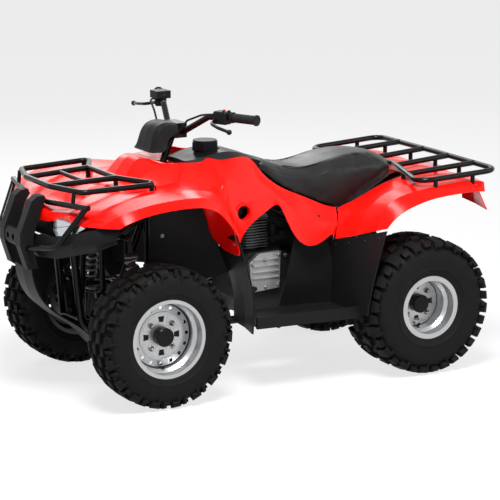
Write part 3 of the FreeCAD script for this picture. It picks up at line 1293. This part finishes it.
def build_rear():
    centre = Vector(rear_axle_x, 0, rear_axle_z)
    pivot = frame_at(PIVOT_SHARE)
    foot, head = [frame_at(shares) for shares in REAR_SHOCK_SHARES]
    offset = ACROSS * (DRIVE_SHARE * g.axle_tube_length)
    half_housing = ACROSS * (g.axle_tube_length / 2)
    pivot_half = g.lower_rail_y - g.frame_tube_dia / 2 - g.running_gap
    saddle = foot - UP * (g.shock_dia / 2)
    cross_half = ACROSS * (g.axle_tube_length * DRIVE_SHARE)
    pieces = [
        primitive(
            "Cylinder", "axle_housing", centre - half_housing, ACROSS,
            Radius="axle_tube_dia / 2", Height="axle_tube_length"),
        primitive(
            "Cylinder", "final_drive", centre + offset * 0.6, ACROSS,
            Radius="final_drive_dia / 2", Height=f"axle_tube_length * {DRIVE_SHARE}"),
        primitive(
            "Cylinder", "pivot_tube", pivot - ACROSS * pivot_half, ACROSS,
            Radius="frame_tube_dia * 0.6", Height="2 * (lower_rail_y - frame_tube_dia / 2 - running_gap)"),
        primitive(
            "Cylinder", "drive_shaft_arm", pivot + offset, centre - pivot,
            Radius="drive_arm_dia / 2", Height=(centre - pivot).Length),
        primitive(
            "Cylinder", "plain_arm", pivot - offset, centre - pivot,
            Radius="plain_arm_dia / 2", Height=(centre - pivot).Length),
        primitive(
            "Cylinder", "shock_cross", saddle - cross_half, ACROSS,
            Radius="shock_dia / 2", Height=f"2 * axle_tube_length * {DRIVE_SHARE}"),
        primitive(
            "Cylinder", "shock_saddle", centre, saddle - centre,
            Radius="shock_dia / 2", Height=(saddle - centre).Length),
    ]
    bore = primitive(
        "Cylinder", "axle_bore", centre - half_housing * 2, ACROSS,
        Radius="axle_dia / 2 + running_gap", Height="2 * axle_tube_length")
    arm = keep(joined("swingarm", pieces, [bore]), "swingarm")
    sprung = shock(foot, head, "shock_dia").Shape
    node("rear_shock", largest(sprung.cut(nodes["frame"].Shape).cut(arm.Shape)))
    hitch = doc.addObject("PartDesign::Body", "hitch")
    plate = outline(hitch, "XY_Plane", [
        ("hitch_bore * 1.5 - hitch_reach", "hitch_bore * 1.5"), ("0", "hitch_bore * 2.4"),
        ("0", "hitch_bore * -2.4"), ("hitch_bore * 1.5 - hitch_reach", "hitch_bore * -1.5"),
    ])
    pad(hitch, plate, "floor_wall")
    tip = ring(hitch, "XY_Plane", "hitch_bore * 3", "hitch_bore * 1.5 - hitch_reach")
    pad(hitch, tip, "floor_wall")
    pocket(hitch, ring(hitch, "XY_Plane", "hitch_bore", "hitch_bore * 1.5 - hitch_reach"))
    stand(hitch, "front_axle_x - wheelbase", "0", f"rear_tyre_dia / 2 + axle_tube_dia * {HITCH_RISE_SHARE}")
    keep(joined("tow_hitch", [hitch], [arm]), "tow_hitch")


HITCH_RISE_SHARE = 0.27
CRANKCASE_SHARES = [
    (-0.217, 0, 0.052), (0.053, 0, 0.035), (0.078, 0, 0.175), (0.071, 0, 0.444), (0.030, 0, 0.543),
    (-0.097, 0, 0.543), (-0.221, 0, 0.382),
]
COVER_SHARES = [
    (-0.084, 0, 0.237), (0.027, 0, 0.217), (0.035, 0, 0.464), (-0.004, 0, 0.534), (-0.088, 0, 0.534),
]
COVER_RIB_SHARES = [0.34, 0.5, 0.66, 0.82]
BARREL_SHARES = [(-0.021, 0, 0.543), (-0.021, 0, 0.794)]
EXHAUST_SHARES = [
    (0.030, -0.190, 0.840), (0.088, -0.229, 0.803), (0.104, -1.219, 0.724), (0.053, -1.429, 0.598),
    (-0.265, -1.448, 0.534), (-0.424, -1.771, 0.681),
    (-0.500, -1.771, 0.724),
]
MUFFLER_SHARES = [(-0.495, -1.771, 0.724), (-0.752, -1.771, 0.753)]
MUFFLER_STEP_SHARES = [(0.0, 0.42), (0.06, 0.94), (0.1, 1.0), (0.92, 1.0), (0.97, 0.9), (1.0, 0.3)]
AIR_BOX_SHARES = [
    (-0.152, 0, 0.518), (-0.152, 0, 0.737), (-0.186, 0, 0.761), (-0.352, 0, 0.745), (-0.357, 0, 0.687),
    (-0.318, 0, 0.518),
]
INTAKE_SHARES = [(-0.156, 0, 0.687), (-0.117, 0, 0.712), (-0.053, 0, 0.832)]
FLOAT_BOWL_SHARES = (-0.108, 0, 0.629)
TAIL_LAMP_SHARES = [(-0.800, -0.116, 0.631), (-0.752, 0.116, 0.675)]
SHIFT_SHARES = [(0.018, 1.200, 0.258), (0.018, 1.429, 0.258), (0.106, 1.505, 0.175), (0.106, 1.905, 0.175)]


def side_cover(half):
    """A cast side cover of the engine with its raised ribs."""
    points = [frame_at(shares) for shares in COVER_SHARES]
    body = doc.addObject("PartDesign::Body", "side_cover")
    corners = [(f"{p.x}", f"{p.z}") for p in points]
    plate = outline(body, "XZ_Plane", corners, FreeCAD.Placement(Vector(0, 0, -half), Rotation()))
    pad(body, plate, "cover_depth", reverse=True)
    low, high = min(p.z for p in points), max(p.z for p in points)
    back, front = points[0].x, points[1].x
    inset = g.cover_rib
    for share in COVER_RIB_SHARES:
        z = low + (high - low) * share
        rib = outline(
            body, "XZ_Plane",
            [(f"{back + inset}", f"{z}"), (f"{front - inset}", f"{z}"),
             (f"{front - inset}", f"{z} + cover_rib"), (f"{back + inset}", f"{z} + cover_rib")],
            FreeCAD.Placement(Vector(0, 0, -half - g.cover_depth / 2), Rotation()))
        pad(body, rib, "cover_depth / 2 + cover_rib", reverse=True)
    return body


def build_cylinder():
    """The air-cooled barrel: square fins on a round barrel, under a plain head."""
    foot, head = [frame_at(shares) for shares in BARREL_SHARES]
    height = (head - foot).Length
    body = doc.addObject("PartDesign::Body", "cylinder")
    pad(body, ring(body, "XY_Plane", "cylinder_dia"), f"{height} + head_height")
    half = "(cylinder_dia / 2 + fin_overhang)"
    corners = [(f"{u} * {half}", f"{v} * {half}") for u, v in ((1, 0.72), (0.72, 1), (-0.72, 1), (-1, 0.72))]
    corners += [(f"-1 * ({u})", f"-1 * ({v})") for u, v in corners]
    step = height / worth("fin_count")
    first = FreeCAD.Placement(Vector(0, 0, step * 0.6), Rotation())
    fin = pad(body, outline(body, "XY_Plane", corners, first), "fin_thickness")
    fins = body.newObject("PartDesign::LinearPattern", "Fins")
    fins.Originals = [fin]
    fins.Direction = (own(body, "Z_Axis"), [""])
    fins.Length = height - step
    bind(fins, Occurrences="fin_count")
    body.Tip = fins
    top = FreeCAD.Placement(Vector(0, 0, height), Rotation())
    side = "(cylinder_dia / 2 + fin_overhang / 2)"
    square = [(f"{u} * {side}", f"{v} * {side}") for u, v in ((1, 1), (-1, 1), (-1, -1), (1, -1))]
    pad(body, outline(body, "XY_Plane", square, top), "head_height")
    body.Placement = FreeCAD.Placement(foot, Rotation())
    return keep(body, "engine_cylinder")


def build_engine():
    half = g.lower_rail_y + g.running_gap
    outline_points = [frame_at(shares) - ACROSS * half for shares in CRANKCASE_SHARES]
    rail_top = lower_rail_z + g.frame_tube_dia / 2 + g.running_gap
    drop = min(p.z for p in outline_points) - rail_top
    outline_points = [p - UP * drop for p in outline_points]
    block = given("engine_block", slab(outline_points, ACROSS * 2 * half))
    frame = nodes["frame"].Shape
    case = largest(block.Shape.cut(frame))
    node("engine_crankcase", case)
    cover = side_cover(half)
    pair(cover, "engine_covers")
    cylinder = build_cylinder().Shape
    pipe = tube([frame_at(shares) for shares in EXHAUST_SHARES], g.exhaust_dia, 1.2 * g.exhaust_dia)
    start, end = [frame_at(shares) for shares in MUFFLER_SHARES]
    run = end - start
    profile = [(0, 0)] + [(g.muffler_dia / 2 * wide, run.Length * far) for far, wide in MUFFLER_STEP_SHARES]
    profile.append((0, run.Length))
    muffler = turned(profile, start, Vector(run).normalize(), ACROSS)
    node("exhaust", largest(pipe.fuse(muffler).cut(cylinder)))
    box_half = frame_at(CROSS_SHARES[4]).y - g.brace_tube_dia / 2
    outline_points = [frame_at(shares) - ACROSS * box_half for shares in AIR_BOX_SHARES]
    box = slab(outline_points, ACROSS * 2 * box_half)
    tract = tube([frame_at(shares) for shares in INTAKE_SHARES], g.intake_dia, g.intake_dia)
    bowl_top = frame_at(INTAKE_SHARES[1])
    bowl_foot = Vector(bowl_top.x, 0, frame_at(FLOAT_BOWL_SHARES).z)
    bowl = rod(bowl_foot, bowl_top, g.intake_dia * 1.2)
    intake = fused([box, tract, bowl]).cut(frame).cut(cylinder)
    node("air_intake", largest(intake))
    low, high = [at(shares) for shares in TAIL_LAMP_SHARES]
    lamp = Part.makeBox(high.x - low.x, high.y - low.y, high.z - low.z, low)
    node("tail_lamp", largest(lamp.cut(nodes["rear_fender"].Shape)))
    shift = tube([frame_at(shares) for shares in SHIFT_SHARES], g.lever_dia, g.lever_dia)
    shift = largest(shift.cut(cover.Shape))
    node("foot_pedals", Part.makeCompound(on_both_sides(shift)))


build_body()
build_frame()
build_front()
build_racks()
build_footwells()
build_suspension()
build_knuckle()
build_steering()
build_wheels()
build_rear()
build_engine()

doc.recompute()
for feature in doc.Objects:
    if "Invalid" in feature.State or "Error" in feature.State:
        raise RuntimeError(f"{feature.Label} failed: {feature.State}")
os.makedirs("parts", exist_ok=True)
for name, feature in nodes.items():
    if feature.Shape.isNull() or not feature.Shape.isValid() or not feature.Shape.Solids:
        raise RuntimeError(f"{name} is not a valid solid")
    feature.Shape.exportStep(f"parts/{name}.step")
